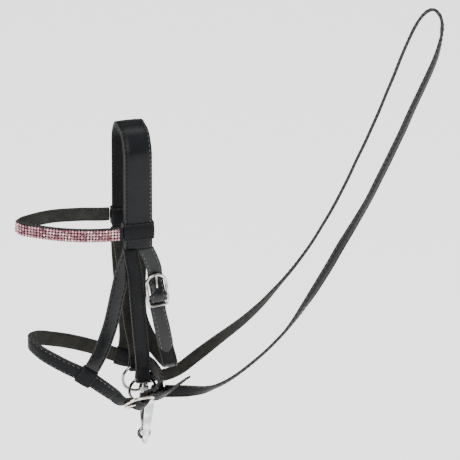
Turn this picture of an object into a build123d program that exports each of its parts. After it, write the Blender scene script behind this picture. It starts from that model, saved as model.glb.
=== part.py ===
"""Miniature snaffle bridle, hung by the poll with its rein loop held up behind it.

Millimetres. The nose points along -X, the near (left) side is -Y, up is +Z, and the origin
is the middle of the crownpiece's underside, where a peg carries the bridle.
"""
import math
import os

from build123d import *

# Crownpiece
crown_width = 24.0
crown_leather_thickness = 2.4
crown_padding_thickness = 3.6
crown_half_span = 22.0  # from the middle to the seam between leather and padding
crown_drop = 98.6  # from the underside of the poll to the sewn lower ends
crown_flat_half = 13.0
crown_shoulder_drop = 10.0
crown_bend_radius = 10.0
sliphead_thickness = 1.2

# Straps
strap_width = 13.0
strap_thickness = 2.8
billet_thickness = 1.8
layer_gap = 0.4
slide_clearance = 0.5
loop_wall = 1.6
billet_hole_radius = 1.3

# Browband
browband_width = 12.0
browband_thickness = 2.0
browband_lining_thickness = 1.0
crystal_strip_thickness = 1.5
browband_loop_height = 15.0
browband_loop_wall = 1.6
browband_near_rise = 16.0  # of the browband's near loop above the crown's ends
browband_far_rise = 12.0

# Bit
ring_radius = 11.6
ring_wire_radius = 1.25
ring_half_gap = 12.0
ring_x = 5.7
ring_depth = 139.0  # of the rings' middles below the crown's ends
fold_inner_radius = 3.2
fold_wall = 1.4
fold_width = 10.0
fold_neck = 12.0
boss_arc = 9.5  # round the ring from the near rein end to the cannon's boss
boss_radius = 4.6
boss_hole_radius = 2.1
boss_hole_flare = 3.2
cannon_root_radius = 3.3
cannon_belly_radius = 4.0
cannon_tip_radius = 2.3
eye_wire_radius = 1.5
near_eye_radius = 4.2
far_eye_radius = 4.5
mouth_x = 9.6
mouth_drop = 47.0  # from the rings' middles to the middle of the far cannon's eye

# Buckles
buckle_wire_radius = 1.35
buckle_half_width = strap_width / 2 + 2.0
buckle_heel_corner = 2.5
buckle_bar_radius = 1.2
buckle_heel_radius = 1.8
throat_toe = 20.8
throat_heel = 7.6
nose_toe = 15.5
nose_heel = 7.6
pivot_clearance = 0.06
chape_clearance = 0.2
chape_wall = 1.0
chape_neck = 5.6
prong_radius = 0.9
prong_width = 2.4
prong_slot_clearance = 0.5
prong_rest_clearance = 0.12
punch_share = 0.43
punch_height = 1.4
punch_length = 8.4

# Rein
rein_width = 11.5
rein_thickness = 2.4
rein_loop_width = 7.0
rein_loop_wall = 1.2
rein_loop_angles = {"near": -8.0, "far": -3.0}  # round the ring, above its rear
rein_sections = 110

lead_length = 2.0  # the straight start and end of a strap whose end directions are given

near = -1
far = 1
sides = {"near": near, "far": far}


def below(x, y, depth):
    """A place at a depth below the crown's sewn lower ends."""
    return (x, y, -crown_drop - depth)


os.makedirs("parts", exist_ok=True)


def write(builder, label):
    """Name a finished piece and write it to its file."""
    builder.part.label = label
    export_step(builder.part, f"parts/{label}.step")


def squared(hint, along):
    """The direction nearest to hint that is square to along."""
    across = Vector(*hint) - along * Vector(*hint).dot(along)
    return across.normalized()


def strap_planes(route, count, ends=None):
    """Section planes down a smooth run through (point, hint) pairs; a hint is the width's way.

    The run may be given the directions that it starts and ends in.
    """
    if ends:
        (first, first_hint), (last, last_hint) = route[0], route[-1]
        after = Vector(*first) + Vector(*ends[0]).normalized() * lead_length
        before = Vector(*last) - Vector(*ends[1]).normalized() * lead_length
        after = (tuple(after), first_hint)
        before = (tuple(before), last_hint)
        route = [route[0], after, *route[1:-1], before, route[-1]]
    points = [point for point, _ in route]
    hints = [Vector(*hint) for _, hint in route]
    with BuildLine() as run:
        Spline(*points)
    line = run.wire()
    steps = [math.dist(a, b) for a, b in zip(points[:-1], points[1:])]
    marks = [sum(steps[:i]) / sum(steps) for i in range(len(points))]
    planes = []
    for station in range(count + 1):
        share = station / count
        index = max(i for i in range(len(steps)) if marks[i] <= share + 1e-9)
        part = (share - marks[index]) / (marks[index + 1] - marks[index])
        hint = hints[index] * (1 - part) + hints[index + 1] * part
        along = line.tangent_at(share)
        if ends and station in (0, count):
            along = Vector(*ends[station // count]).normalized()
        across = squared(hint, along)
        planes.append(Plane(origin=line.position_at(share), x_dir=across, z_dir=along))
    return planes


def strap(planes, width, thickness, lift=0.0):
    """A flat strap through its section planes, lifted off them towards its outer face."""
    with BuildPart() as piece:
        for plane in planes:
            with BuildSketch(plane):
                with Locations((0, lift)):
                    Rectangle(width, thickness)
        loft(ruled=True)
    return piece


def turned_back_end(plane, inner_radius, wall, neck, width):
    """A strap's sewn end loop: a teardrop round the plane's z axis, its neck along y."""
    with BuildPart() as loop:
        with BuildSketch(plane):
            Circle(inner_radius + wall)
            with Locations((0, neck)):
                Rectangle(2 * wall, 1.0, align=(Align.CENTER, Align.MAX))
            make_hull()
            Circle(inner_radius, mode=Mode.SUBTRACT)
        extrude(amount=width / 2, both=True)
    return loop


# --- Crownpiece ---------------------------------------------------------------------------

crown_top = crown_padding_thickness
seam = [
    (-crown_half_span, -crown_drop),
    (-crown_half_span, -crown_shoulder_drop),
    (-crown_flat_half, crown_top),
    (crown_flat_half, crown_top),
    (crown_half_span, -crown_shoulder_drop),
    (crown_half_span, -crown_drop),
]


def arch_points(lift):
    """The seam's corners moved out by lift, for an arch that is parallel to it."""
    slope = math.atan2(crown_half_span - crown_flat_half, crown_top + crown_shoulder_drop)
    low = lift * math.tan(slope / 2)
    high = lift * math.tan((math.pi / 2 - slope) / 2)
    half = [
        (crown_half_span + lift, -crown_drop),
        (crown_half_span + lift, -crown_shoulder_drop + low),
        (crown_flat_half + high, crown_top + lift),
    ]
    return [(-y, z) for y, z in half] + [(y, z) for y, z in reversed(half)]


def crown_arch(inner, outer, width):
    """An arch over the poll between two distances outside the seam."""
    with BuildPart() as layer:
        with BuildSketch(Plane.YZ):
            for lift, mode in ((outer, Mode.ADD), (inner, Mode.SUBTRACT)):
                with BuildLine():
                    FilletPolyline(*arch_points(lift), radius=crown_bend_radius + lift, close=False)
                    Line(
                        (crown_half_span + lift, -crown_drop),
                        (-crown_half_span - lift, -crown_drop),
                    )
                make_face(mode=mode)
        extrude(amount=width / 2, both=True)
    return layer


crown_leather = crown_arch(0.0, crown_leather_thickness, crown_width)
write(crown_leather, "crown_leather")

sliphead = crown_arch(-sliphead_thickness, 0.0, strap_width)
write(sliphead, "sliphead")

crown_padding = crown_arch(-crown_padding_thickness, 0.0, crown_width)
with crown_padding:
    add(sliphead.part, mode=Mode.SUBTRACT)
write(crown_padding, "crown_padding")

# --- Cheekpieces --------------------------------------------------------------------------

outer_layer = crown_half_span + strap_thickness / 2
inner_layer = outer_layer - strap_thickness - layer_gap
tail_x = strap_width / 2 + layer_gap / 2
ring_z = -crown_drop - ring_depth
fold_z = ring_z + ring_radius
across_x = (1, 0, 0)
upright = (0, 0, 1)
downward = (0, 0, -1)


def cheek_route(side):
    """The cheekpiece's run; the far one starts in the inner layer, under the far hanger."""
    low = fold_z + fold_neck
    if side == near:
        tops = [(-tail_x, -outer_layer), (-3.5, -23.6), (-1.0, -22.4), (2.5, -18.5)]
    else:
        tops = [(-tail_x, inner_layer), (-4.0, 20.0), (-1.0, 18.8), (2.5, 16.0)]
    depths = [0.0, 23.0, 53.0, 88.0]
    route = [(below(x, y, depth), across_x) for (x, y), depth in zip(tops, depths)]
    return route + [((ring_x, side * ring_half_gap, low), across_x)]


for name, side in sides.items():
    fold_plane = Plane(
        origin=(ring_x, side * ring_half_gap, fold_z), x_dir=(0, 1, 0), z_dir=(1, 0, 0)
    )
    cheek_planes = strap_planes(cheek_route(side), 18, (downward, downward))
    cheek = strap(cheek_planes, strap_width, strap_thickness)
    fold = turned_back_end(fold_plane, fold_inner_radius, fold_wall, fold_neck, fold_width)
    with cheek:
        add(fold.part)
    write(cheek, f"{name}_cheekpiece")

# --- Buckles ------------------------------------------------------------------------------


def buckle_frame(plane, toe, heel):
    """A round-toed wire frame with a thick heel bar and a centre bar along the plane's x axis."""
    with BuildPart() as frame:
        with BuildLine(plane):
            outline = FilletPolyline(
                (-buckle_half_width, -heel),
                (buckle_half_width, -heel),
                (buckle_half_width, toe),
                (-buckle_half_width, toe),
                radius=[
                    buckle_heel_corner,
                    buckle_heel_corner,
                    buckle_half_width - 0.1,
                    buckle_half_width - 0.1,
                ],
                close=True,
            )
        with BuildSketch(Plane(origin=outline @ 0, z_dir=outline % 0)):
            Circle(buckle_wire_radius)
        sweep(path=outline)
        across = Plane(origin=plane.origin, x_dir=plane.y_dir, z_dir=plane.x_dir)
        with BuildSketch(across):
            Circle(buckle_bar_radius)
        extrude(amount=buckle_half_width, both=True)
        with BuildSketch(across):
            with Locations((-heel, 0)):
                Circle(buckle_heel_radius)
        extrude(amount=buckle_half_width - buckle_heel_corner, both=True)
    return frame


def buckle_prong(plane, toe):
    """A prong that turns on the centre bar and rests on the toe."""
    rest = buckle_wire_radius + prong_rest_clearance + prong_radius
    eye_outer = buckle_bar_radius + chape_clearance + chape_wall
    start = (eye_outer - 0.4, 0.9)
    end = (toe + 1.5, rest)
    side_plane = Plane(origin=plane.origin, x_dir=plane.y_dir, z_dir=plane.x_dir)
    with BuildPart() as prong:
        with BuildSketch(side_plane):
            Circle(eye_outer)
            Circle(buckle_bar_radius + pivot_clearance, mode=Mode.SUBTRACT)
        extrude(amount=prong_width / 2, both=True)
        with BuildLine(side_plane):
            run = Line(start, end)
        with BuildSketch(Plane(origin=run @ 0, z_dir=run % 0)):
            Circle(prong_radius)
        sweep(path=run)
        with Locations(Location(run @ 1)):
            Sphere(prong_radius)
    return prong


def chape(plane, planes, thickness):
    """A strap whose end turns round the centre bar, slotted for the prong."""
    inner = buckle_bar_radius + chape_clearance
    side_plane = Plane(origin=plane.origin, x_dir=plane.y_dir, z_dir=plane.x_dir)
    neck = planes[0].origin - plane.origin
    turned = Plane(origin=plane.origin, x_dir=neck.cross(plane.x_dir), z_dir=plane.x_dir)
    with BuildPart() as piece:
        with BuildSketch(turned):
            Circle(inner + chape_wall)
            with Locations((0, neck.length)):
                Rectangle(thickness, 0.6, align=(Align.CENTER, Align.MAX))
            make_hull()
            Circle(inner, mode=Mode.SUBTRACT)
        extrude(amount=strap_width / 2, both=True)
        with BuildSketch(side_plane):
            Circle(inner + chape_wall + prong_slot_clearance)
        extrude(
            amount=prong_width / 2 + prong_slot_clearance, both=True, mode=Mode.SUBTRACT
        )
        add(strap(planes, strap_width, thickness).part)
    return piece


def chape_way(plane):
    """The way a strap leaves the centre bar: behind the billet, towards the heel."""
    return tuple(plane.y_dir * -0.55 - plane.z_dir * 0.83)


def in_buckle(plane, along, height):
    """A place in a buckle: along towards its toe, height off its front."""
    return tuple(plane.from_local_coords(Vector(0, along, height)))


def billet_in_buckle(plane, toe, heel):
    """The billet's places from the toe, over the centre bar and under the heel bar."""
    half = billet_thickness / 2
    under_toe = -(buckle_wire_radius + layer_gap + half)
    over_bar = buckle_bar_radius + chape_clearance + chape_wall + layer_gap + half
    under_heel = -(buckle_heel_radius + layer_gap + half)
    across = tuple(plane.x_dir)
    places = [
        (toe + 4.0, under_toe),
        (toe, under_toe),
        (toe * 0.62, under_toe * 0.5),
        (toe * 0.22, over_bar * 0.92),
        (0.0, over_bar),
        (-heel * 0.32, over_bar * 0.78),
        (-heel * 0.54, 0.2),
        (-heel * 0.85, under_heel * 0.92),
        (-heel - 1.2, under_heel - 0.5),
        (-heel - 5.0, under_heel),
    ]
    return [(in_buckle(plane, along, height), across) for along, height in places]


def punch(plane, along):
    """Cut a prong's slot through the billet, at a distance towards the buckle's toe."""
    middle = in_buckle(plane, along, punch_height)
    spot = Plane(origin=middle, x_dir=plane.y_dir, z_dir=plane.z_dir)
    with BuildSketch(spot) as slot:
        SlotOverall(punch_length, 2 * billet_hole_radius)
    extrude(slot.sketch, amount=2.5 * billet_thickness, both=True, mode=Mode.SUBTRACT)


# --- Throatlash ---------------------------------------------------------------------------

throat_plane = Plane(origin=below(15.8, -26.4, 45.8), x_dir=(1, 0, 0.09), z_dir=(0, -1, 0))
throat_inside = billet_in_buckle(throat_plane, throat_toe, throat_heel)
throat_billet_route = (
    [((tail_x, -outer_layer, -crown_drop), across_x), (below(10.2, -23.5, 10.0), across_x)]
    + throat_inside
    + [(below(20.2, -24.4, 75.0), across_x), (below(24.8, -23.6, 100.0), across_x)]
)
throat_billet_planes = strap_planes(throat_billet_route, 60, (downward, (0.2, 0.02, -1)))
throat_billet = strap(throat_billet_planes, strap_width, billet_thickness)
with throat_billet:
    punch(throat_plane, throat_toe * punch_share)
write(throat_billet, "throat_billet")

throatlash_route = [
    (in_buckle(throat_plane, -2.2, -chape_neck), tuple(throat_plane.x_dir)),
    (in_buckle(throat_plane, -8.0, -chape_neck - 2.0), tuple(throat_plane.x_dir)),
    (below(18.6, -19.4, 66.0), across_x),
    (below(24.5, -19.4, 97.0), across_x),
    (below(29.0, -15.5, 114.5), across_x),
    (below(30.0, -9.0, 119.8), across_x),
    (below(29.0, -1.0, 119.6), across_x),
    (below(24.0, 6.0, 113.0), across_x),
    (below(16.0, 9.3, 100.0), across_x),
    (below(9.8, 11.8, 83.0), across_x),
    (below(9.0, 14.8, 53.0), across_x),
    (below(9.6, 17.4, 21.0), across_x),
    ((tail_x, inner_layer, -crown_drop), across_x),
]
throatlash_planes = strap_planes(throatlash_route, 60, (chape_way(throat_plane), (0, 0, 1)))
throatlash = chape(throat_plane, throatlash_planes, strap_thickness)
write(throatlash, "throatlash")
write(buckle_frame(throat_plane, throat_toe, throat_heel), "throat_buckle_frame")
write(buckle_prong(throat_plane, throat_toe), "throat_buckle_prong")

# --- Noseband -----------------------------------------------------------------------------

nose_plane = Plane(origin=below(1.3, -28.0, 142.7), x_dir=(0.26, -0.6, 0.74), z_dir=(0.15, -0.72, -0.64))
nose_across = tuple(nose_plane.x_dir)
near_hang = below(-48.0, -31.5, 111.0)
far_hang = below(-1.0, 31.5, 127.0)
noseband_route = [
    (in_buckle(nose_plane, -2.2, -chape_neck), nose_across),
    (in_buckle(nose_plane, -7.4, -chape_neck - 1.4), nose_across),
    (below(15.0, -21.9, 136.9), (0.26, -0.52, 0.78)),
    (below(19.5, -21.2, 132.6), (0, -0.1, 1)),
    (below(21.3, -13.0, 128.7), upright),
    (below(21.3, 0.0, 128.6), upright),
    (below(20.0, 12.0, 128.6), upright),
    (below(14.0, 25.0, 129.2), upright),
    (far_hang, upright),
    (below(-30.0, 32.5, 114.0), upright),
    (below(-63.0, 24.5, 100.0), upright),
    (below(-83.5, 10.5, 90.5), upright),
    (below(-90.0, 0.0, 88.0), upright),
    (below(-85.0, -11.5, 91.5), upright),
    (below(-69.5, -23.5, 99.8), upright),
    (near_hang, upright),
    (below(-34.0, -33.2, 122.0), (0.3, -0.2, 0.9)),
    (below(-24.0, -32.6, 131.0), (0.3, -0.4, 0.85)),
]
noseband_planes = strap_planes(noseband_route, 132, (chape_way(nose_plane), (0.7, 0.1, -0.7)))
noseband = chape(nose_plane, noseband_planes, strap_thickness)
write(noseband, "noseband")

nose_billet_route = (
    [
        (below(-24.0, -32.6, 131.0), (0.3, -0.4, 0.85)),
        (below(-19.3, -31.9, 136.6), (0.28, -0.52, 0.8)),
        (below(-16.2, -31.2, 138.9), nose_across),
    ]
    + billet_in_buckle(nose_plane, nose_toe, nose_heel)[1:]
    + [
        (below(17.5, -22.6, 141.4), (0.22, -0.62, 0.75)),
        (below(24.8, -23.4, 138.2), (0.1, -0.7, 0.68)),
        (below(34.2, -22.4, 132.8), (0.0, -0.78, 0.62)),
        (below(46.0, -18.0, 128.5), (-0.2, -0.88, 0.42)),
    ]
)
nose_billet_planes = strap_planes(nose_billet_route, 60, ((0.7, 0.1, -0.7), (1, 0.3, 0.25)))
nose_billet = strap(nose_billet_planes, strap_width, billet_thickness)
with nose_billet:
    punch(nose_plane, nose_toe * punch_share)
write(nose_billet, "noseband_billet")
write(buckle_frame(nose_plane, nose_toe, nose_heel), "noseband_buckle_frame")
write(buckle_prong(nose_plane, nose_toe), "noseband_buckle_prong")


def band_keeper(planes):
    """A flat loop closed round the noseband, along its section planes."""
    tall = strap_width + 2 * slide_clearance
    deep = strap_thickness + 2 * slide_clearance
    walls = 2 * loop_wall
    with BuildPart() as keeper:
        for plane in planes:
            with BuildSketch(plane):
                Rectangle(tall + walls, deep + walls)
        loft(ruled=True)
        for plane in planes:
            with BuildSketch(plane):
                Rectangle(tall, deep)
        loft(ruled=True, mode=Mode.SUBTRACT)
    return keeper


def hanger(tops, hang):
    """A noseband hanger from the crown down to its loop round the noseband."""
    middle = min(
        range(len(noseband_planes)),
        key=lambda index: (noseband_planes[index].origin - Vector(*hang)).length,
    )
    plane = noseband_planes[middle]
    foot_height = strap_width / 2 + slide_clearance + loop_wall / 2
    foot = plane.from_local_coords(Vector(foot_height, 0, 0))
    keeper = band_keeper(noseband_planes[middle - 3 : middle + 4])
    run = strap_planes(tops + [(tuple(foot), tuple(plane.z_dir))], 20, (downward, tuple(-plane.x_dir)))
    with keeper:
        add(strap(run, strap_width, strap_thickness).part)
    return keeper


near_hanger = hanger(
    [
        ((-tail_x, -inner_layer, -crown_drop), across_x),
        (below(-13.4, -19.7, 23.0), across_x),
        (below(-17.8, -21.6, 40.0), across_x),
        (below(-27.0, -26.0, 73.0), across_x),
    ],
    near_hang,
)
write(near_hanger, "near_noseband_hanger")

far_hanger = hanger(
    [
        ((-tail_x, outer_layer, -crown_drop), across_x),
        (below(-4.5, 25.5, 43.0), across_x),
        (below(1.0, 29.0, 88.0), across_x),
    ],
    far_hang,
)
write(far_hanger, "far_noseband_hanger")

# --- Browband -----------------------------------------------------------------------------

browband_rises = {"near": browband_near_rise, "far": browband_far_rise}
crown_depth = crown_leather_thickness + crown_padding_thickness
leg_middle = crown_half_span + crown_leather_thickness - crown_depth / 2
loop_front = -(crown_width / 2 + slide_clearance + browband_loop_wall)
half_spread = crown_half_span + crown_leather_thickness + slide_clearance + 0.6

for name, side in sides.items():
    loop_base = browband_rises[name] - crown_drop - browband_loop_height / 2
    with BuildPart() as loop:
        with BuildSketch(Plane.XY.offset(loop_base)):
            with Locations((0, side * leg_middle)):
                RectangleRounded(
                    -2 * loop_front,
                    crown_depth + 2 * slide_clearance + 2 * browband_loop_wall,
                    browband_loop_wall,
                )
                Rectangle(
                    crown_width + 2 * slide_clearance,
                    crown_depth + 2 * slide_clearance,
                    mode=Mode.SUBTRACT,
                )
        extrude(amount=browband_loop_height)
    write(loop, f"{name}_browband_loop")

# Round from the far loop to the near one: x, y and rise above the crown's ends.
browband_corners = [
    (loop_front, half_spread, browband_far_rise),
    (-40.0, 25.6, 14.2),
    (-67.0, 20.5, 17.4),
    (-86.0, 12.0, 19.3),
    (-96.5, 5.0, 20.2),
    (-99.3, 0.0, 20.5),
    (-96.5, -5.0, 20.4),
    (-86.0, -12.0, 20.1),
    (-67.0, -20.5, 19.0),
    (-40.0, -25.2, 17.0),
    (loop_front, -half_spread, browband_near_rise),
]
browband_route = [((x, y, rise - crown_drop), upright) for x, y, rise in browband_corners]
browband_planes = strap_planes(browband_route, 60, ((-1, 0, 0), (1, 0, 0)))
strip_lift = (browband_thickness + crystal_strip_thickness) / 2
lining_lift = -(browband_thickness + browband_lining_thickness) / 2
write(strap(browband_planes, browband_width, browband_thickness), "browband")
write(
    strap(browband_planes, browband_width, crystal_strip_thickness, strip_lift),
    "crystal_strip",
)
write(
    strap(browband_planes, browband_width, browband_lining_thickness, lining_lift),
    "browband_lining",
)

# --- Bit ----------------------------------------------------------------------------------

boss_turn = math.radians(90.0 + rein_loop_angles["near"]) - boss_arc / ring_radius
boss_x = ring_x + ring_radius * math.sin(boss_turn)
boss_z = ring_z - ring_radius * math.cos(boss_turn)
ring_tangent = (math.cos(boss_turn), 0, math.sin(boss_turn))


def boss_point(side):
    """Where a cannon goes round its ring."""
    return Vector(boss_x, side * ring_half_gap, boss_z)


def cannon(side, end, eye, eye_radius, eye_axis):
    """Half a mouthpiece: a drilled boss, a tapered cannon and an eye."""
    start = boss_point(side)
    along = (end - start).normalized()
    length = (end - start).length
    side_way = squared((1, 0, 0), along)
    section = Plane(origin=start, x_dir=side_way, z_dir=side_way.cross(along))
    with BuildPart() as piece:
        with BuildSketch(section):
            with BuildLine():
                Polyline(
                    (0, -boss_radius * 0.92),
                    (boss_radius * 0.75, -boss_radius * 0.75),
                    (boss_radius, 0),
                    (boss_radius * 0.9, boss_radius * 0.55),
                    (cannon_root_radius, boss_radius * 0.95),
                    (cannon_belly_radius, boss_radius * 0.95 + 2.4),
                    (cannon_belly_radius * 0.92, length * 0.45),
                    (cannon_tip_radius, length),
                    (0, length),
                    close=True,
                )
            make_face()
        revolve(axis=Axis(start, along))
        with Locations(Plane(origin=eye, z_dir=eye_axis)):
            Torus(eye_radius, eye_wire_radius)
        with Locations(Plane(origin=start, z_dir=ring_tangent)):
            Cylinder(boss_hole_radius, 4 * boss_radius, mode=Mode.SUBTRACT)
            for way in (-1, 1):
                with Locations((0, 0, way * boss_radius * 0.72)):
                    Cone(
                        boss_hole_radius if way > 0 else boss_hole_flare,
                        boss_hole_flare if way > 0 else boss_hole_radius,
                        boss_radius * 0.9,
                        mode=Mode.SUBTRACT,
                    )
    return piece


near_eye = Vector(mouth_x, 0, ring_z - mouth_drop - far_eye_radius)
far_eye = Vector(mouth_x, 0, ring_z - mouth_drop)
near_cannon_end = near_eye + Vector(0, -near_eye_radius - 0.3, 0)
far_cannon_end = far_eye + Vector(0, 0.9, far_eye_radius)
write(cannon(near, near_cannon_end, near_eye, near_eye_radius, (1, 0, 0)), "near_cannon")
write(cannon(far, far_cannon_end, far_eye, far_eye_radius, (0, 1, 0)), "far_cannon")

for name, side in sides.items():
    with BuildPart() as ring:
        with Locations(Plane(origin=(ring_x, side * ring_half_gap, ring_z), z_dir=(0, 1, 0))):
            Torus(ring_radius, ring_wire_radius)
    write(ring, f"{name}_bit_ring")

# --- Rein ---------------------------------------------------------------------------------

# Each corner: x, y, depth below the crown's ends, and the lean of the rein's width in degrees.
rein_route = [
    (24.5, -13.7, 141.6, 0),
    (42.8, -16.8, 142.9, -8),
    (66.9, -20.0, 141.5, -53),
    (95.6, -20.6, 125.0, -62),
    (129.8, -20.0, 94.9, -61),
    (154.0, -19.0, 61.0, -36),
    (180.0, -20.0, 15.7, -33),
    (202.3, -19.5, -21.1, -42),
    (224.0, -19.0, -65.4, -40),
    (241.7, -17.0, -103.0, -36),
    (260.8, -12.0, -139.0, -31),
    (269.4, -6.0, -162.0, -24),
    (269.6, -1.5, -176.0, 43),
    (263.0, 3.2, -183.0, 66),
    (253.5, 7.5, -173.5, 83),
    (242.6, 12.0, -148.0, 82),
    (226.6, 15.0, -102.0, 76),
    (208.7, 17.0, -58.0, 71),
    (185.4, 18.2, -7.0, 68),
    (162.0, 18.8, 34.0, 64),
    (136.8, 18.4, 65.0, 58),
    (111.7, 18.0, 91.0, 37),
    (86.0, 17.3, 109.0, 20),
    (62.0, 16.5, 125.0, 0),
    (39.0, 14.4, 140.5, 0),
    (24.6, 12.8, 139.9, 0),
]
rein_points = [below(*corner[:3]) for corner in rein_route]
rein_leans = [corner[3] for corner in rein_route]


def corner_radii(points):
    """Each corner's arc: 0.45 of its shorter run over the tangent of half its turn."""
    radii = []
    for before, corner, after in zip(points[:-2], points[1:-1], points[2:]):
        arriving = Vector(*corner) - Vector(*before)
        leaving = Vector(*after) - Vector(*corner)
        turn = math.radians(arriving.get_angle(leaving))
        shorter = min(arriving.length, leaving.length)
        radii.append(0.45 * shorter / math.tan(turn / 2))
    return radii


radii = corner_radii(rein_points)
print("rein corner radii:", [round(radius, 1) for radius in radii])
with BuildLine() as rein_run:
    FilletPolyline(*rein_points, radius=radii)
rein_line = rein_run.wire()
runs = [math.dist(a, b) for a, b in zip(rein_points[:-1], rein_points[1:])]
marks = [sum(runs[:i]) / sum(runs) for i in range(len(rein_points))]


def rein_plane(share):
    """The rein's section plane at a share of its length."""
    index = max(i for i in range(len(runs)) if marks[i] <= share + 1e-9)
    part = (share - marks[index]) / (marks[index + 1] - marks[index])
    lean = math.radians(rein_leans[index] * (1 - part) + rein_leans[index + 1] * part)
    along = rein_line.tangent_at(share)
    level_up = squared(upright, along)
    across = level_up * math.cos(lean) + level_up.cross(along) * math.sin(lean)
    return Plane(origin=rein_line.position_at(share), x_dir=across, z_dir=along)


rein_planes = [rein_plane(station / rein_sections) for station in range(rein_sections + 1)]
rein = strap(rein_planes, rein_width, rein_thickness)
section_volume = rein_width * rein_thickness * rein_line.length
print(f"rein: length {rein_line.length:.1f}, volume {rein.part.volume:.0f} of {section_volume:.0f}")
write(rein, "rein")

for name, exit_plane in (("near", rein_planes[0]), ("far", rein_planes[-1])):
    hang = math.radians(rein_loop_angles[name])
    centre = Vector(
        ring_x + ring_radius * math.cos(hang),
        sides[name] * ring_half_gap,
        ring_z + ring_radius * math.sin(hang),
    )
    axis = Vector(-math.sin(hang), 0, math.cos(hang))
    leaving = exit_plane.origin - centre
    neck = (leaving - axis * leaving.dot(axis)).normalized()
    loop_plane = Plane(origin=centre, x_dir=neck.cross(axis), z_dir=axis)
    loop = turned_back_end(
        loop_plane, fold_inner_radius, rein_loop_wall, leaving.dot(neck) - layer_gap, rein_loop_width
    )
    write(loop, f"{name}_rein_loop")
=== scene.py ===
"""A miniature snaffle bridle, hung by the poll, with its rein loop held up behind it."""

import math
import random

import bmesh
import bpy
from mathutils import Matrix, Vector
from mathutils.geometry import interpolate_bezier


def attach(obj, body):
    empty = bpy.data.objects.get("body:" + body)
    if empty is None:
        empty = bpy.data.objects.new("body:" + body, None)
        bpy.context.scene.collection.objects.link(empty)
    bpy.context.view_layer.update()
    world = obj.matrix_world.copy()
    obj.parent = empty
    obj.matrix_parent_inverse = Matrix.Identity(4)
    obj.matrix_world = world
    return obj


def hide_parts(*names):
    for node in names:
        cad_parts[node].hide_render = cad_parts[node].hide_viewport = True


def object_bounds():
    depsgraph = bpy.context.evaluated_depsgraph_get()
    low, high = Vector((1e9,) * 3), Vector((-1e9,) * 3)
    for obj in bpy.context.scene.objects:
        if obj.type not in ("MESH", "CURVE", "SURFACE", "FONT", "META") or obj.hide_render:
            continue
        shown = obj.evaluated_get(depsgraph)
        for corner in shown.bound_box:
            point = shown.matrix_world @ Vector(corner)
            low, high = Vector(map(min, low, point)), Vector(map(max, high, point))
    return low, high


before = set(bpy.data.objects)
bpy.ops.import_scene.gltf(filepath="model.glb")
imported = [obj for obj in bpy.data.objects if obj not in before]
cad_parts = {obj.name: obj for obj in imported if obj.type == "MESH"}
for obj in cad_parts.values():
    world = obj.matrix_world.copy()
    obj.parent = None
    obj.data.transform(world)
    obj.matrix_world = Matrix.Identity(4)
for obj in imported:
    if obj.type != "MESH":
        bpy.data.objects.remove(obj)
cad_low, cad_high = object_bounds()
scene = bpy.context.scene

UP = Vector((0, 0, 1))
DOWN = Vector((0, 0, -1))
ACROSS_X = Vector((1, 0, 0))
NEAR, FAR = -1, 1
SEAM_INSET = 0.0019  # of a row of stitches from its strap's edge
CAMERA_AWAY = 8.0
FLOOR_BELOW = 0.25


def mm(*values):
    """A point given in millimetres."""
    return Vector(values) / 1000


# --- Camera -------------------------------------------------------------------------------

centre = (cad_low + cad_high) / 2
target = Vector((centre.x + 0.0004, 0, centre.z + 0.0028))
azimuth, elevation = math.radians(-14), math.radians(25)
back = Vector(
    (
        math.sin(azimuth) * math.cos(elevation),
        -math.cos(azimuth) * math.cos(elevation),
        math.sin(elevation),
    )
)
camera_data = bpy.data.cameras.new("camera")
camera_data.lens = 737
camera_data.sensor_width = 36
camera_data.clip_end = 60
camera = bpy.data.objects.new("camera", camera_data)
scene.collection.objects.link(camera)
camera.location = target + back * CAMERA_AWAY
camera.rotation_mode = "QUATERNION"
camera.rotation_quaternion = (-back).to_track_quat("-Z", "Y")
scene.camera = camera


# --- Materials ----------------------------------------------------------------------------


def finish_of(name, color, roughness, metallic=0.0):
    """A new material and its Principled shader, coloured and linked."""
    material = bpy.data.materials.new(name)
    material.use_nodes = True
    shader = material.node_tree.nodes["Principled BSDF"]
    shader.inputs["Base Color"].default_value = (*color, 1)
    shader.inputs["Roughness"].default_value = roughness
    shader.inputs["Metallic"].default_value = metallic
    return material, shader


def join(material, source, socket):
    """Link an output of a material's node to an input."""
    material.node_tree.links.new(source, socket)


def node(material, kind, **inputs):
    """A node in a material, with its inputs set by name or linked from a socket."""
    made = material.node_tree.nodes.new(kind)
    for key, value in inputs.items():
        socket = made.inputs[key.replace("_", " ")]
        if isinstance(value, bpy.types.NodeSocket):
            join(material, value, socket)
        else:
            socket.default_value = value
    return made


def object_place(material):
    """Where a point is on the whole bridle."""
    return node(material, "ShaderNodeTexCoord").outputs["Object"]


def ramp(material, factor, low, high, start=0.35, end=0.65):
    """A colour that goes from low to high as factor goes from start to end."""
    made = node(material, "ShaderNodeValToRGB", Fac=factor)
    first, last = made.color_ramp.elements
    first.position, last.position = start, end
    first.color, last.color = (*low, 1), (*high, 1)
    return made.outputs["Color"]


def bump(material, shader, height, strength, distance):
    """A bump from a height on the shader's normal."""
    made = node(
        material, "ShaderNodeBump", Height=height, Strength=strength, Distance=distance
    )
    join(material, made.outputs["Normal"], shader.inputs["Normal"])


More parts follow.
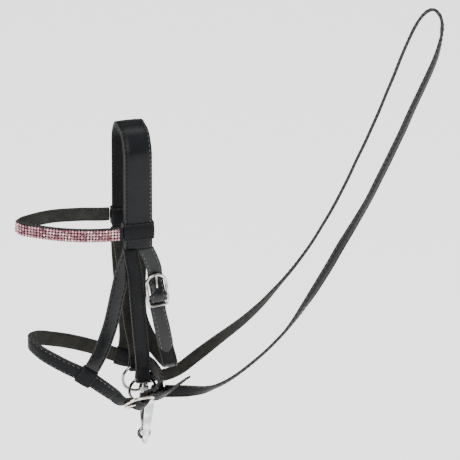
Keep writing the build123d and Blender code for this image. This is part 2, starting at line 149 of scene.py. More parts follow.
def strap_leather(name, dark, light, rough, grain, depth, wear, gloss):
    """Grained strap leather: pebbled, patchily polished, and worn along its edges.

    The straps' UV map holds the way along in x and the way across, from -1 to 1, in y.
    """
    material, shader = finish_of(name, dark, rough)
    shader.inputs["Specular IOR Level"].default_value = gloss
    place = object_place(material)
    pebbles = node(material, "ShaderNodeTexVoronoi", Vector=place, Scale=grain)
    creases = node(material, "ShaderNodeTexNoise", Vector=place, Scale=grain * 0.22, Detail=5.0)
    patches = node(material, "ShaderNodeTexNoise", Vector=place, Scale=38.0, Detail=3.0)
    tone = ramp(material, patches.outputs["Fac"], dark, light)
    uv = node(material, "ShaderNodeUVMap")
    split = node(material, "ShaderNodeSeparateXYZ", Vector=uv.outputs["UV"])
    side = node(material, "ShaderNodeMath")
    side.operation = "ABSOLUTE"
    join(material, split.outputs["Y"], side.inputs[0])
    edge = node(material, "ShaderNodeMapRange", Value=side.outputs["Value"])
    edge.inputs["From Min"].default_value = 0.82
    edge.inputs["From Max"].default_value = 1.0
    scuffs = node(material, "ShaderNodeMath")
    scuffs.operation = "MULTIPLY"
    join(material, edge.outputs["Result"], scuffs.inputs[0])
    join(material, creases.outputs["Fac"], scuffs.inputs[1])
    worn = node(material, "ShaderNodeMix")
    worn.data_type = "RGBA"
    join(material, scuffs.outputs["Value"], worn.inputs["Factor"])
    join(material, tone, worn.inputs[6])
    worn.inputs[7].default_value = (*wear, 1)
    join(material, worn.outputs[2], shader.inputs["Base Color"])
    polish = node(material, "ShaderNodeMapRange", Value=patches.outputs["Fac"])
    polish.inputs["To Min"].default_value = rough - 0.07
    polish.inputs["To Max"].default_value = rough + 0.1
    join(material, polish.outputs["Result"], shader.inputs["Roughness"])
    grain_height = node(material, "ShaderNodeMath")
    grain_height.operation = "MULTIPLY_ADD"
    join(material, pebbles.outputs["Distance"], grain_height.inputs[0])
    grain_height.inputs[1].default_value = 0.6
    join(material, creases.outputs["Fac"], grain_height.inputs[2])
    bump(material, shader, grain_height.outputs["Value"], 0.55, depth)
    shader.inputs["Coat Weight"].default_value = 0.03
    shader.inputs["Coat Roughness"].default_value = 0.3
    return material


def nap_leather(name, dark, light):
    """The suede side of a strap: matt, with a short fibrous nap."""
    material, shader = finish_of(name, dark, 0.93)
    place = object_place(material)
    nap = node(
        material, "ShaderNodeTexNoise", Vector=place, Scale=900.0, Detail=6.0, Roughness=0.7
    )
    blotches = node(material, "ShaderNodeTexNoise", Vector=place, Scale=120.0, Detail=4.0)
    tone = ramp(material, blotches.outputs["Fac"], dark, light)
    join(material, tone, shader.inputs["Base Color"])
    bump(material, shader, nap.outputs["Fac"], 0.7, 0.0004)
    shader.inputs["Sheen Weight"].default_value = 0.06
    shader.inputs["Sheen Roughness"].default_value = 0.5
    shader.inputs["Specular IOR Level"].default_value = 0.2
    return material


def cut_edge(name, dark, light, pitch):
    """A strap's cut edge: dyed, with the close diagonal ridges of its layers and thread."""
    material, shader = finish_of(name, dark, 0.7)
    uv = node(material, "ShaderNodeUVMap")
    turned = node(material, "ShaderNodeMapping", Vector=uv.outputs["UV"])
    turned.inputs["Scale"].default_value = (1000 / pitch, 1.5, 1)
    ridges = node(
        material, "ShaderNodeTexWave", Vector=turned.outputs["Vector"], Scale=0.32, Distortion=1.2
    )
    ridges.inputs["Detail"].default_value = 2.0
    ridges.bands_direction = "DIAGONAL"
    tone = ramp(material, ridges.outputs["Fac"], dark, light, 0.2, 0.9)
    join(material, tone, shader.inputs["Base Color"])
    bump(material, shader, ridges.outputs["Fac"], 0.6, 0.0005)
    return material


def twisted_thread(name, dark, light):
    """Waxed linen thread."""
    material, shader = finish_of(name, dark, 0.6)
    strands = node(material, "ShaderNodeTexNoise", Vector=object_place(material), Scale=1500.0)
    tone = ramp(material, strands.outputs["Fac"], dark, light)
    join(material, tone, shader.inputs["Base Color"])
    bump(material, shader, strands.outputs["Fac"], 0.4, 0.0002)
    shader.inputs["Specular IOR Level"].default_value = 0.08
    return material


def plated(name, color, rough, tarnish):
    """Polished nickel plate with fine rubbing and dull patches."""
    material, shader = finish_of(name, color, rough, 1.0)
    place = object_place(material)
    patches = node(material, "ShaderNodeTexNoise", Vector=place, Scale=110.0, Detail=4.0)
    rub = node(material, "ShaderNodeTexNoise", Vector=place, Scale=1400.0, Detail=3.0)
    tone = ramp(material, patches.outputs["Fac"], tarnish, color, 0.42, 0.58)
    join(material, tone, shader.inputs["Base Color"])
    dull = node(material, "ShaderNodeMapRange", Value=patches.outputs["Fac"])
    dull.inputs["To Min"].default_value = rough + 0.16
    dull.inputs["To Max"].default_value = rough
    join(material, dull.outputs["Result"], shader.inputs["Roughness"])
    bump(material, shader, rub.outputs["Fac"], 0.12, 0.0001)
    return material


def cut_stone(name, deep, pale, clear):
    """A foil-backed crystal, its colour patched deep and pale by noise: painted pools of colour
    and painted glints of light.
    """
    material, shader = finish_of(name, pale, 0.06)
    # Painted glints: noise patches that turn the stone's colour pale.
    flash = node(
        material, "ShaderNodeTexNoise", Vector=object_place(material), Scale=700.0, Detail=1.0
    )
    tone = ramp(material, flash.outputs["Fac"], deep, pale, 0.4, 0.6)
    join(material, tone, shader.inputs["Base Color"])
    bump(material, shader, flash.outputs["Fac"], 0.1, 0.0002)
    shader.inputs["Metallic"].default_value = clear
    shader.inputs["Coat Weight"].default_value = 1.0
    shader.inputs["Coat Roughness"].default_value = 0.03
    return material


black_grain = strap_leather(
    "black_grain", (0.0020, 0.0022, 0.0027), (0.0052, 0.0057, 0.0068), 0.42, 1500.0, 0.0005,
    (0.016, 0.016, 0.016), 0.09
)
crown_grain = strap_leather(
    "crown_grain", (0.0044, 0.0051, 0.0060), (0.0090, 0.0104, 0.0122), 0.36, 1300.0, 0.0004,
    (0.020, 0.021, 0.023), 0.12
)
glazed_grain = strap_leather(
    "glazed_grain", (0.0036, 0.0040, 0.0046), (0.0085, 0.0092, 0.0102), 0.26, 1500.0, 0.0003,
    (0.03, 0.03, 0.03), 0.26
)
olive_suede = nap_leather("olive_suede", (0.0100, 0.0098, 0.0080), (0.0190, 0.0185, 0.0150))
black_lining = nap_leather("black_lining", (0.0014, 0.0014, 0.0014), (0.0030, 0.0030, 0.0030))
grey_suede = nap_leather("grey_suede", (0.0140, 0.0145, 0.0125), (0.0250, 0.0260, 0.0225))
dyed_edge = cut_edge("dyed_edge", (0.0040, 0.0040, 0.0038), (0.0200, 0.0198, 0.0180), 1.9)
roped_edge = cut_edge("roped_edge", (0.0035, 0.0035, 0.0030), (0.0280, 0.0270, 0.0230), 2.6)
# Black thread painted pale: a painted sheen, used for the crown's rear row, the throat billet and
# the noseband.
painted_sheen_thread = twisted_thread("painted_sheen_thread", (0.07, 0.07, 0.07), (0.16, 0.16, 0.155))
grey_thread = twisted_thread("grey_thread", (0.010, 0.010, 0.010), (0.026, 0.026, 0.025))
black_thread = twisted_thread("black_thread", (0.0015, 0.0015, 0.0015), (0.004, 0.004, 0.004))
nickel = plated("nickel", (0.62, 0.61, 0.58), 0.10, (0.17, 0.165, 0.155))
# A darker copy of the nickel for the bit rings and the far cannon: painted shade, standing in for
# dark reflections.
painted_shade_nickel = plated("painted_shade_nickel", (0.34, 0.335, 0.32), 0.12, (0.05, 0.05, 0.046))
# A brighter, bluer copy of the nickel for the near cannon: a painted highlight.
painted_highlight_nickel = plated("painted_highlight_nickel", (0.82, 0.85, 0.90), 0.12, (0.46, 0.48, 0.50))
# A brighter, cream copy of the nickel for the noseband buckle: a painted cream highlight.
painted_cream_highlight_nickel = plated("painted_cream_highlight_nickel", (0.80, 0.75, 0.68), 0.12, (0.48, 0.44, 0.39))
rose_stone = cut_stone("rose_stone", (0.34, 0.10, 0.13), (0.66, 0.32, 0.36), 0.35)
wine_stone = cut_stone("wine_stone", (0.10, 0.012, 0.022), (0.30, 0.06, 0.09), 0.45)
# Near-white pink stones set in at random: painted sparkle.
painted_sparkle_stone = cut_stone("painted_sparkle_stone", (0.70, 0.45, 0.49), (0.95, 0.86, 0.87), 0.35)
# Nickel tinted pink for the silver stone cups: the pink is a painted reflection of the stones.
pink_reflection_cup_metal = plated("pink_reflection_cup_metal", (0.62, 0.42, 0.43), 0.25, (0.36, 0.16, 0.18))


# --- Sections and sweeps ------------------------------------------------------------------


class Section:
    """One station of a strap: its middle, its width's way, its outer face's way, its run."""

    def __init__(self, origin, hint, along, travelled):
        self.origin = origin
        self.along = along.normalized()
        self.across = (hint - self.along * hint.dot(self.along)).normalized()
        self.out = self.along.cross(self.across)
        self.travelled = travelled

    def at(self, across, out):
        return self.origin + self.across * across + self.out * out


def smooth_sections(route, step=0.0015, ends=None):
    """Sections along a smooth run through (point, hint) pairs, about step apart."""
    points = [Vector(point) for point, _ in route]
    hints = [Vector(hint).normalized() for _, hint in route]
    gaps = [(b - a).length for a, b in zip(points[:-1], points[1:])]
    ways = [(b - a) / gap for a, b, gap in zip(points[:-1], points[1:], gaps)]
    turned = [ways[0]]
    for i in range(1, len(points) - 1):
        share = gaps[i - 1] / (gaps[i - 1] + gaps[i])
        turned.append(ways[i - 1] * (1 - share) + ways[i] * share)
    turned.append(ways[-1])
    if ends:
        turned[0], turned[-1] = Vector(ends[0]).normalized(), Vector(ends[1]).normalized()
    sections = []
    travelled = 0.0
    for i, gap in enumerate(gaps):
        parts = max(2, round(gap / step))
        following = points[i + 1]
        knots = (
            points[i],
            points[i] + turned[i] * gap / 3,
            following - turned[i + 1] * gap / 3,
            following,
        )
        spots = interpolate_bezier(*knots, parts + 1)
        first = 0 if i == 0 else 1
        for j in range(first, parts + 1):
            before, after = spots[max(j - 1, 0)], spots[min(j + 1, parts)]
            along = after - before
            if j == 0:
                along = turned[i]
            elif j == parts:
                along = turned[i + 1]
            if sections:
                travelled += (spots[j] - sections[-1].origin).length
            hint = hints[i].lerp(hints[i + 1], j / parts)
            sections.append(Section(spots[j], hint, along, travelled))
    return sections


def strap_outline(width, thick, soft=0.8):
    """A strap's section, round over its outer face and back under it, as (across, out, face).

    A shallow crease runs inside each edge of the outer face, where the stitches lie.
    """
    half, deep = width / 2, thick / 2
    seam = half - SEAM_INSET
    edge = min(thick * 0.42, 0.0011)
    over = [
        (-half, 0, 1),
        (-half + edge * 0.12, deep * 0.55, 1),
        (-half + edge * 0.5, deep * 0.9, 0),
        (-half + edge, deep, 0),
        (-seam - 0.0005, deep, 0),
        (-seam, deep - 0.00022 * soft, 0),
        (-seam + 0.0005, deep, 0),
        (-seam * 0.55, deep + 0.00022, 0),
        (0, deep + 0.0003, 0),
    ]
    over += [(-a, o, 0) for a, o, _ in reversed(over[:-1])]
    over[-3] = (*over[-3][:2], 1)
    over[-2] = (*over[-2][:2], 1)
    over[-1] = (*over[-1][:2], 1)
    under = [
        (half - edge * 0.12, -deep * 0.55, 1),
        (half - edge * 0.5, -deep * 0.9, 2),
        (half - edge, -deep, 2),
        (half * 0.5, -deep * 1.02, 2),
        (0, -deep * 1.03, 2),
        (-half * 0.5, -deep * 1.02, 2),
        (-half + edge, -deep, 2),
        (-half + edge * 0.5, -deep * 0.9, 1),
        (-half + edge * 0.12, -deep * 0.55, 1),
        (-half, 0, 1),
    ]
    return over + under


def round_outline(width, thick, sides=12, face=0):
    """A rounded pad or wire section, as (across, out, face)."""
    ring = []
    for k in range(sides + 1):
        turn = 2 * math.pi * k / sides - math.pi
        c, s = math.cos(turn), math.sin(turn)
        ring.append(
            (
                math.copysign(abs(c) ** 0.6, c) * width / 2 if width != thick else c * width / 2,
                math.copysign(abs(s) ** 0.8, s) * thick / 2 if width != thick else s * thick / 2,
                face,
            )
        )
    ring[-1] = ring[0]
    return ring


def swept(name, sections, outline, finishes, lift=0.0, closed=False, narrow=None, sway=0.0):
    """A piece made by wrapping a grid along the sections and round the outline."""
    bm = bmesh.new()
    uv = bm.loops.layers.uv.new("UVMap")
    rows, columns = len(sections) + (1 if closed else 0), len(outline)
    bmesh.ops.create_grid(bm, x_segments=rows - 1, y_segments=columns - 1, size=0.5)
    bm.verts.ensure_lookup_table()
    widest = max(a for a, _, _ in outline)
    rng = random.Random(len(name) * 31 + rows)
    waves = [rng.uniform(0, 6.28) for _ in range(3)]
    slots = {}
    for vert in bm.verts:
        i = round((vert.co.x + 0.5) * (rows - 1))
        j = round((vert.co.y + 0.5) * (columns - 1))
        slots[vert] = (i, j)
    for face in bm.faces:
        places = [slots[loop.vert] for loop in face.loops]
        j = min(p[1] for p in places)
        face.material_index = outline[j][2]
        for loop, (i, k) in zip(face.loops, places):
            section = sections[i % len(sections)]
            along = section.travelled
            if i >= len(sections):
                along += sections[-1].travelled
            loop[uv].uv = (along, outline[k][0] / widest)
    for vert, (i, j) in slots.items():
        section = sections[i % len(sections)]
        across, out, _ = outline[j]
        if narrow:
            across *= narrow(section.travelled)
        t = section.travelled * 1000
        wave = sway * (math.sin(t / 11 + waves[0]) + 0.6 * math.sin(t / 5.3 + waves[1]))
        vert.co = section.at(across, out + lift + wave)
    bmesh.ops.remove_doubles(bm, verts=bm.verts, dist=1e-6)
    if not closed:
        rims = [edge for edge in bm.edges if edge.is_boundary]
        bmesh.ops.holes_fill(bm, edges=rims, sides=0)
    bmesh.ops.recalc_face_normals(bm, faces=bm.faces)
    for face in bm.faces:
        face.smooth = len(face.verts) < 5
    return piece(name, bm, finishes)


def piece(name, bm, finishes):
    """An object from a finished bmesh."""
    mesh = bpy.data.meshes.new(name)
    bm.to_mesh(mesh)
    bm.free()
    for finish in finishes:
        mesh.materials.append(finish)
    made = bpy.data.objects.new(name, mesh)
    scene.collection.objects.link(made)
    return made


def settle(made, body, slot, *nodes):
    """Put a piece on its body and hide the CAD solids that it stands for; the slot is not used."""
    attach(made, body)
    if nodes:
        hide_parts(*nodes)
    return made


def section_at(sections, nearest, place):
    """The section at a place along a strap, between the one before nearest and nearest."""
    before, after = sections[max(nearest - 1, 0)], sections[nearest]
    gap = after.travelled - before.travelled
    part = (place - before.travelled) / gap if gap else 0.0
    spot = before.origin.lerp(after.origin, part)
    return Section(
        spot, before.across.lerp(after.across, part), before.along.lerp(after.along, part), place
    )


def stitch_rows(
    name, sections, offsets, lift, pitch, finish, start=0.0, stop=None, size=1.0, slant=8
):
    """Rows of thread stitches lying in a strap's seams."""
    bm = bmesh.new()
    rng = random.Random(len(sections) + 7)
    stop = sections[-1].travelled if stop is None else stop
    shape = Matrix.Diagonal((0.00034 * size, pitch * 0.37, 0.00026 * size, 1))
    nearest = 0
    place = start + pitch / 2
    while place < stop:
        while nearest < len(sections) - 1 and sections[nearest].travelled < place:
            nearest += 1
        section = section_at(sections, nearest, place)
        for offset in offsets:
            turn = Matrix.Rotation(math.radians(slant + rng.uniform(-4, 4)), 4, "Z")
            way = Matrix((section.across, section.along, -section.out)).transposed().to_4x4()
            spot = Matrix.Translation(section.at(offset, lift))
            bmesh.ops.create_icosphere(
                bm, subdivisions=1, radius=1.0, matrix=spot @ way @ turn @ shape
            )
        place += pitch
    for face in bm.faces:
        face.smooth = True
    bmesh.ops.recalc_face_normals(bm, faces=bm.faces)
    return piece(name, bm, [finish])


# --- Sizes shared with the solid model ----------------------------------------------------

STRAP, THICK, BILLET = 0.013, 0.0028, 0.0018
REIN, REIN_THICK = 0.0115, 0.0024
LEATHER, PADDING, CROWN = 0.0024, 0.0036, 0.024
BEAD = 0.0013
# In millimetres: the crown's outer and inner layers, its tails and the height of its ends.
outer_layer = 23.4
inner_layer = 20.2
tail_x = 6.7
crown_end = -98.6
strap_finishes = [black_grain, dyed_edge, olive_suede]


# --- Rein ---------------------------------------------------------------------------------

rein_corners = [
    (24.5, -13.7, -240.2, 0),
    (42.8, -16.8, -241.5, -8),
    (66.9, -20.0, -240.1, -53),
    (95.6, -20.6, -223.6, -62),
    (129.8, -20.0, -193.5, -61),
    (154.0, -19.0, -159.6, -36),
    (180.0, -20.0, -114.3, -33),
    (202.3, -19.5, -77.5, -42),
    (224.0, -19.0, -33.2, -40),
    (241.7, -17.0, 4.4, -36),
    (260.8, -12.0, 40.4, -31),
    (269.4, -6.0, 63.4, -24),
    (269.6, -1.5, 77.4, 43),
    (263.0, 3.2, 84.4, 66),
    (253.5, 7.5, 74.9, 83),
    (242.6, 12.0, 49.4, 82),
    (226.6, 15.0, 3.4, 76),
    (208.7, 17.0, -40.6, 71),
    (185.4, 18.2, -91.6, 68),
    (162.0, 18.8, -132.6, 64),
    (136.8, 18.4, -163.6, 58),
    (111.7, 18.0, -189.6, 37),
    (86.0, 17.3, -207.6, 20),
    (62.0, 16.5, -223.6, 0),
    (39.0, 14.4, -239.1, 0),
    (24.6, 12.8, -238.5, 0),
]
rein_curve = bpy.data.curves.new("rein_line", "CURVE")
rein_curve.dimensions = "3D"
rein_spline = rein_curve.splines.new("NURBS")
rein_spline.points.add(len(rein_corners) - 1)
for control, (x, y, z, lean) in zip(rein_spline.points, rein_corners):
    control.co = (x / 1000, y / 1000, z / 1000, 1)
rein_spline.order_u = 3
rein_spline.use_endpoint_u = True
rein_spline.resolution_u = 24
rein_line = bpy.data.objects.new("rein_line", rein_curve)
scene.collection.objects.link(rein_line)
rein_mesh = bpy.data.meshes.new_from_object(rein_line)
rein_spots = [vertex.co.copy() for vertex in rein_mesh.vertices]
bpy.data.objects.remove(rein_line)
bpy.data.meshes.remove(rein_mesh)

rein_leans = [corner[3] for corner in rein_corners]
rein_runs = [
    (Vector(b[:3]) - Vector(a[:3])).length for a, b in zip(rein_corners[:-1], rein_corners[1:])
]
rein_total = sum((b - a).length for a, b in zip(rein_spots[:-1], rein_spots[1:]))


def rein_lean(share):
    """The rein's lean from upright at a share of its length, in radians."""
    reach = share * sum(rein_runs)
    for i, run in enumerate(rein_runs):
        if reach <= run or i == len(rein_runs) - 1:
            part = min(reach / run, 1.0)
            return math.radians(rein_leans[i] * (1 - part) + rein_leans[i + 1] * part)
        reach -= run


rein_sections = []
gone = 0.0
for i, spot in enumerate(rein_spots):
    if i:
        gone += (spot - rein_spots[i - 1]).length
    along = (rein_spots[min(i + 1, len(rein_spots) - 1)] - rein_spots[max(i - 1, 0)]).normalized()
    level = (UP - along * UP.dot(along)).normalized()
    lean = rein_lean(gone / rein_total)
    hint = level * math.cos(lean) + level.cross(along) * math.sin(lean)
    rein_sections.append(Section(spot, hint, along, gone))

rein_finishes = [black_grain, roped_edge, olive_suede]
rein = swept(
    "rein_strap", rein_sections, strap_outline(REIN, REIN_THICK), rein_finishes, sway=0.00012
)
settle(rein, "root", "black_leather", "rein")
rein_seams = (-REIN / 2 + SEAM_INSET, REIN / 2 - SEAM_INSET)
rein_stitches = stitch_rows(
    "rein_stitches", rein_sections, rein_seams, 0.00125, 0.0042, grey_thread
)
settle(rein_stitches, "root", "black_leather")


# --- Folded ends --------------------------------------------------------------------------


def fold_sections(centre_at, neck, axis, radius, neck_length, step=14):
    """Sections of a strap that comes down its neck, goes round a bar and back up."""
    side = neck.cross(axis).normalized()
    lean = math.acos(min(0.99, radius / neck_length))
    spots = [centre_at + neck * neck_length]
    for k in range(step + 1):
        turn = lean + (2 * math.pi - 2 * lean) * k / step
        spots.append(centre_at + (neck * math.cos(turn) + side * math.sin(turn)) * radius)
    spots.append(centre_at + neck * neck_length)
    sections = []
    gone = 0.0
    for i, spot in enumerate(spots):
        if i:
            gone += (spot - spots[i - 1]).length
        if i in (0, 1):
            along = spots[1] - spots[0]
        elif i in (len(spots) - 1, len(spots) - 2):
            along = spots[-1] - spots[-2]
        else:
            along = spots[i + 1] - spots[i - 1]
        sections.append(Section(spot, axis, along, gone))
    return sections


def folded_end(name, centre_at, neck, axis, radius, wall, neck_length, width, finishes, *nodes):
    """A strap's sewn end, turned back round a bar."""
    sections = fold_sections(
        centre_at, neck.normalized(), axis.normalized(), radius + wall / 2, neck_length
    )
    if sections[len(sections) // 2].out.dot(sections[len(sections) // 2].origin - centre_at) < 0:
        for section in sections:
            section.across, section.out = -section.across, -section.out
    made = swept(name, sections, strap_outline(width, wall), finishes)
    settle(made, "root", "black_leather", *nodes)
    rows = stitch_rows(
        name + "_stitches", sections, (-width / 2 + 0.0017, width / 2 - 0.0017), wall / 2, 0.0034,
        grey_thread
    )
    settle(rows, "root", "black_leather")
    return made, rows


RING_X, RING_Z, RING_R = 5.7, -237.6, 11.6
rein_pieces = [rein_stitches]
for side_name, side, hang, exit_section in (
    ("near", NEAR, -8.0, rein_sections[0]),
    ("far", FAR, -3.0, rein_sections[-1]),
):
    turn = math.radians(hang)
    eye = mm(RING_X + RING_R * math.cos(turn), side * 12, RING_Z + RING_R * math.sin(turn))
    axis = Vector((-math.sin(turn), 0, math.cos(turn)))
    leaving = exit_section.origin - eye
    neck = leaving - axis * leaving.dot(axis)
    made = folded_end(
        f"{side_name}_rein_end", eye, neck, axis, 0.0032, 0.0012, neck.length + 0.001, 0.007,
        [black_grain, dyed_edge, black_lining], f"{side_name}_rein_loop",
    )
    rein_pieces += list(made)


# --- Crownpiece ---------------------------------------------------------------------------

arch_half = [
    (22, crown_end), (22, -76), (22, -50), (22, -24), (22, -13), (21.58, -10.12),
    (20.34, -7.5), (15.96, -0.88), (12.36, 2.41), (7.63, 3.6),
]
arch = [mm(0, y, z) for y, z in arch_half] + [mm(0, 0, 3.6)] + [
    mm(0, -y, z) for y, z in reversed(arch_half)
]
arch_sections = smooth_sections([(spot, ACROSS_X) for spot in arch], 0.002, (UP, DOWN))
if arch_sections[len(arch_sections) // 2].out.z < 0:
    arch_sections = smooth_sections([(spot, -ACROSS_X) for spot in arch], 0.002, (UP, DOWN))

crown = swept(
    "crown_outer", arch_sections, strap_outline(CROWN, LEATHER, 1.4),
    [crown_grain, dyed_edge, black_lining],
    lift=LEATHER / 2,
)
settle(crown, "root", "black_leather", "crown_leather")
# The rear row's pale thread is a painted sheen on black thread; the front row is black.
for name, offset, thread in (
    ("rear", CROWN / 2 - SEAM_INSET, painted_sheen_thread), ("front", SEAM_INSET - CROWN / 2, black_thread)
):
    crown_row = stitch_rows(
        f"crown_{name}_stitches", arch_sections, (offset,), LEATHER + 0.00002, 0.0038, thread,
        start=0.002
    )
    settle(crown_row, "root", "black_leather")
padding = swept(
    "crown_lining", arch_sections, round_outline(CROWN + 0.0008, PADDING, 28), [black_lining],
    lift=-PADDING / 2
)
settle(padding, "root", "soft_lining", "crown_padding", "sliphead")
for name, offset in (("rear", CROWN / 2 - 0.0002), ("front", -CROWN / 2 + 0.0002)):
    bead_sections = [
        Section(section.at(offset, -0.0002), section.across, section.along, section.travelled)
        for section in arch_sections
    ]
    bead = swept(f"crown_{name}_bead", bead_sections, round_outline(BEAD, BEAD, 10), [dyed_edge])
    settle(bead, "root", "black_leather")


# --- Straps of the headpiece --------------------------------------------------------------


def strap_piece(name, route, body_nodes, width=STRAP, thick=THICK, ends=None, thread=grey_thread,
                pitch=0.0042, finishes=None, narrow=None, sway=0.0001, slant=8):
    """A stitched strap along a route in millimetres, outer face on its sections' out side."""
    sections = smooth_sections([(mm(*point), Vector(hint)) for point, hint in route], ends=ends)
    finishes = finishes or strap_finishes
    made = swept(name, sections, strap_outline(width, thick), finishes, narrow=narrow, sway=sway)
    settle(made, "root", "black_leather", *body_nodes)
    rows = stitch_rows(
        name + "_stitches", sections, (-width / 2 + SEAM_INSET, width / 2 - SEAM_INSET),
        thick / 2 + 0.00005, pitch,
        thread, start=0.002, stop=sections[-1].travelled - 0.003, slant=slant,
    )
    settle(rows, "root", "black_leather")
    return sections


def drawn_in(length):
    """A cheekpiece's lower end, drawn in to the width of its fold."""

    def share(travelled):
        part = min(max((travelled - length + 0.012) / 0.012, 0), 1)
        return 1.0 - 0.1 * part * part * (3 - 2 * part)

    return share


near_cheek = [
    ((-tail_x, -outer_layer, crown_end), ACROSS_X), ((-3.5, -23.6, -121.6), ACROSS_X),
    ((-1.0, -22.4, -151.6), ACROSS_X),
    ((2.5, -18.5, -186.6), ACROSS_X), ((5.7, -12.4, -212.0), ACROSS_X),
    ((5.7, -12, -218.0), ACROSS_X),
]
far_cheek = [
    ((-tail_x, inner_layer, crown_end), -ACROSS_X), ((-4.0, 20.0, -121.6), -ACROSS_X),
    ((-1.0, 18.8, -151.6), -ACROSS_X),
    ((2.5, 16.0, -186.6), -ACROSS_X), ((5.7, 12.4, -212.0), -ACROSS_X),
    ((5.7, 12, -218.0), -ACROSS_X),
]
strap_piece(
    "near_cheek_strap", near_cheek, ["near_cheekpiece"], ends=(DOWN, DOWN), thread=black_thread,
    narrow=drawn_in(0.1225),
)
strap_piece(
    "far_cheek_strap", far_cheek, ["far_cheekpiece"], ends=(DOWN, DOWN), thread=black_thread,
    narrow=drawn_in(0.1225),
)
for side_name, side in (("near", NEAR), ("far", FAR)):
    folded_end(
        f"{side_name}_cheek_fold", mm(RING_X, side * 12, RING_Z + RING_R), UP, ACROSS_X, 0.0032,
        0.0014, 0.0125,
        0.0117, [black_grain, dyed_edge, black_lining],
    )


def buckle_plane(origin, across, out):
    """A buckle's place: its origin, and its ways across, towards the toe and out."""
    out = Vector(out).normalized()
    across = Vector(across)
    across = (across - out * across.dot(out)).normalized()
    return Vector(origin), across, out.cross(across), out


def in_buckle(plane, along, height, sideways=0.0):
    """A place in a buckle, in millimetres."""
    origin, across, toe, out = plane
    return origin + toe * along + out * height + across * sideways


def through_buckle(plane, toe, heel):
    """A billet's places from the toe, over the centre bar and under the heel bar."""
    under_toe, over_bar, under_heel = -2.65, 3.7, -3.1
    across = plane[1]
    places = [
        (toe + 4.0, under_toe), (toe, under_toe), (toe * 0.62, under_toe * 0.5),
        (toe * 0.22, over_bar * 0.92),
        (0.0, over_bar), (-heel * 0.32, over_bar * 0.78), (-heel * 0.54, 0.2),
        (-heel * 0.85, under_heel * 0.92),
        (-heel - 1.2, under_heel - 0.5), (-heel - 5.0, under_heel),
    ]
    return [(in_buckle(plane, along, height), across) for along, height in places]


throat = buckle_plane((15.8, -26.4, -144.4), (1, 0, 0.09), (0, -1, 0))
nose = buckle_plane((1.3, -28.0, -241.3), (0.26, -0.6, 0.74), (0.15, -0.72, -0.64))


def pointed(total, length):
    """A billet's end, narrowed to a blunt point over its last length."""

    def share(travelled):
        left = (total - travelled) / length
        return 1.0 if left >= 1 else max(0.12, math.sin(math.pi / 2 * max(left, 0)) ** 0.7)

    return share


def run_length(route, ends=None):
    """How long a strap along a route is."""
    sections = smooth_sections([(mm(*point), Vector(hint)) for point, hint in route], ends=ends)
    return sections[-1].travelled


throat_billet = (
    [((tail_x, -outer_layer, crown_end), ACROSS_X), ((10.2, -23.5, -108.6), ACROSS_X)]
    + through_buckle(throat, 20.8, 7.6)
    + [((20.2, -24.4, -173.6), ACROSS_X), ((24.8, -23.6, -198.6), ACROSS_X)]
)
throat_ends = (DOWN, (0.2, 0.02, -1))
strap_piece(
    "throat_billet_strap", throat_billet, ["throat_billet"], thick=BILLET, ends=throat_ends,
    thread=painted_sheen_thread,
    finishes=[glazed_grain, dyed_edge, olive_suede],
    narrow=pointed(run_length(throat_billet, throat_ends), 0.009),
)
throatlash = [
    (in_buckle(throat, -2.2, -5.6), throat[1]), (in_buckle(throat, -8.0, -7.6), throat[1]),
    ((18.6, -19.4, -164.6), ACROSS_X), ((24.5, -19.4, -195.6), ACROSS_X),
    ((29.0, -15.5, -213.1), ACROSS_X),
    ((30.0, -9.0, -218.4), ACROSS_X), ((29.0, -1.0, -218.2), ACROSS_X),
    ((24.0, 6.0, -211.6), ACROSS_X),
    ((16.0, 9.3, -198.6), ACROSS_X), ((9.8, 11.8, -181.6), ACROSS_X),
    ((9.0, 14.8, -151.6), ACROSS_X),
    ((9.6, 17.4, -119.6), ACROSS_X), ((tail_x, inner_layer, crown_end), ACROSS_X),
]
strap_piece(
    "throatlash_strap", throatlash, ["throatlash"],
    ends=(throat[2] * -0.55 - throat[3] * 0.83, UP), thread=black_thread
)

# --- Noseband -----------------------------------------------------------------------------

near_hang, far_hang = (-48.0, -31.5, -209.6), (-1.0, 31.5, -225.6)
noseband = [
    (in_buckle(nose, -2.2, -5.6), nose[1]), (in_buckle(nose, -7.4, -7.0), nose[1]),
    ((15.0, -21.9, -235.5), (0.26, -0.52, 0.78)), ((19.5, -21.2, -231.2), (0, -0.1, 1)),
    ((21.3, -13.0, -227.3), UP), ((21.3, 0.0, -227.2), UP), ((20.0, 12.0, -227.2), UP),
    ((14.0, 25.0, -227.8), UP),
    (far_hang, UP), ((-30.0, 32.5, -212.6), UP), ((-63.0, 24.5, -198.6), UP),
    ((-83.5, 10.5, -189.1), UP),
    ((-90.0, 0.0, -186.6), UP), ((-85.0, -11.5, -190.1), UP), ((-69.5, -23.5, -198.4), UP),
    (near_hang, UP),
    ((-34.0, -33.2, -220.6), (0.3, -0.2, 0.9)), ((-24.0, -32.6, -229.6), (0.3, -0.4, 0.85)),
]
nose_sections = strap_piece(
    "noseband_strap", noseband, ["noseband"],
    ends=(nose[2] * -0.55 - nose[3] * 0.83, (0.7, 0.1, -0.7)),
    thread=painted_sheen_thread, pitch=0.0043,
)
nose_billet = (
    [((-24.0, -32.6, -229.6), (0.3, -0.4, 0.85)), ((-19.3, -31.9, -235.2), (0.28, -0.52, 0.8)),
     ((-16.2, -31.2, -237.5), nose[1])]
    + through_buckle(nose, 15.5, 7.6)[1:]
    + [((17.5, -22.6, -240.0), (0.22, -0.62, 0.75)), ((24.8, -23.4, -236.8), (0.1, -0.7, 0.68)),
       ((34.2, -22.4, -231.4), (0.0, -0.78, 0.62)), ((46.0, -18.0, -227.1), (-0.2, -0.88, 0.42))]
)
nose_ends = ((0.7, 0.1, -0.7), (1, 0.3, 0.25))
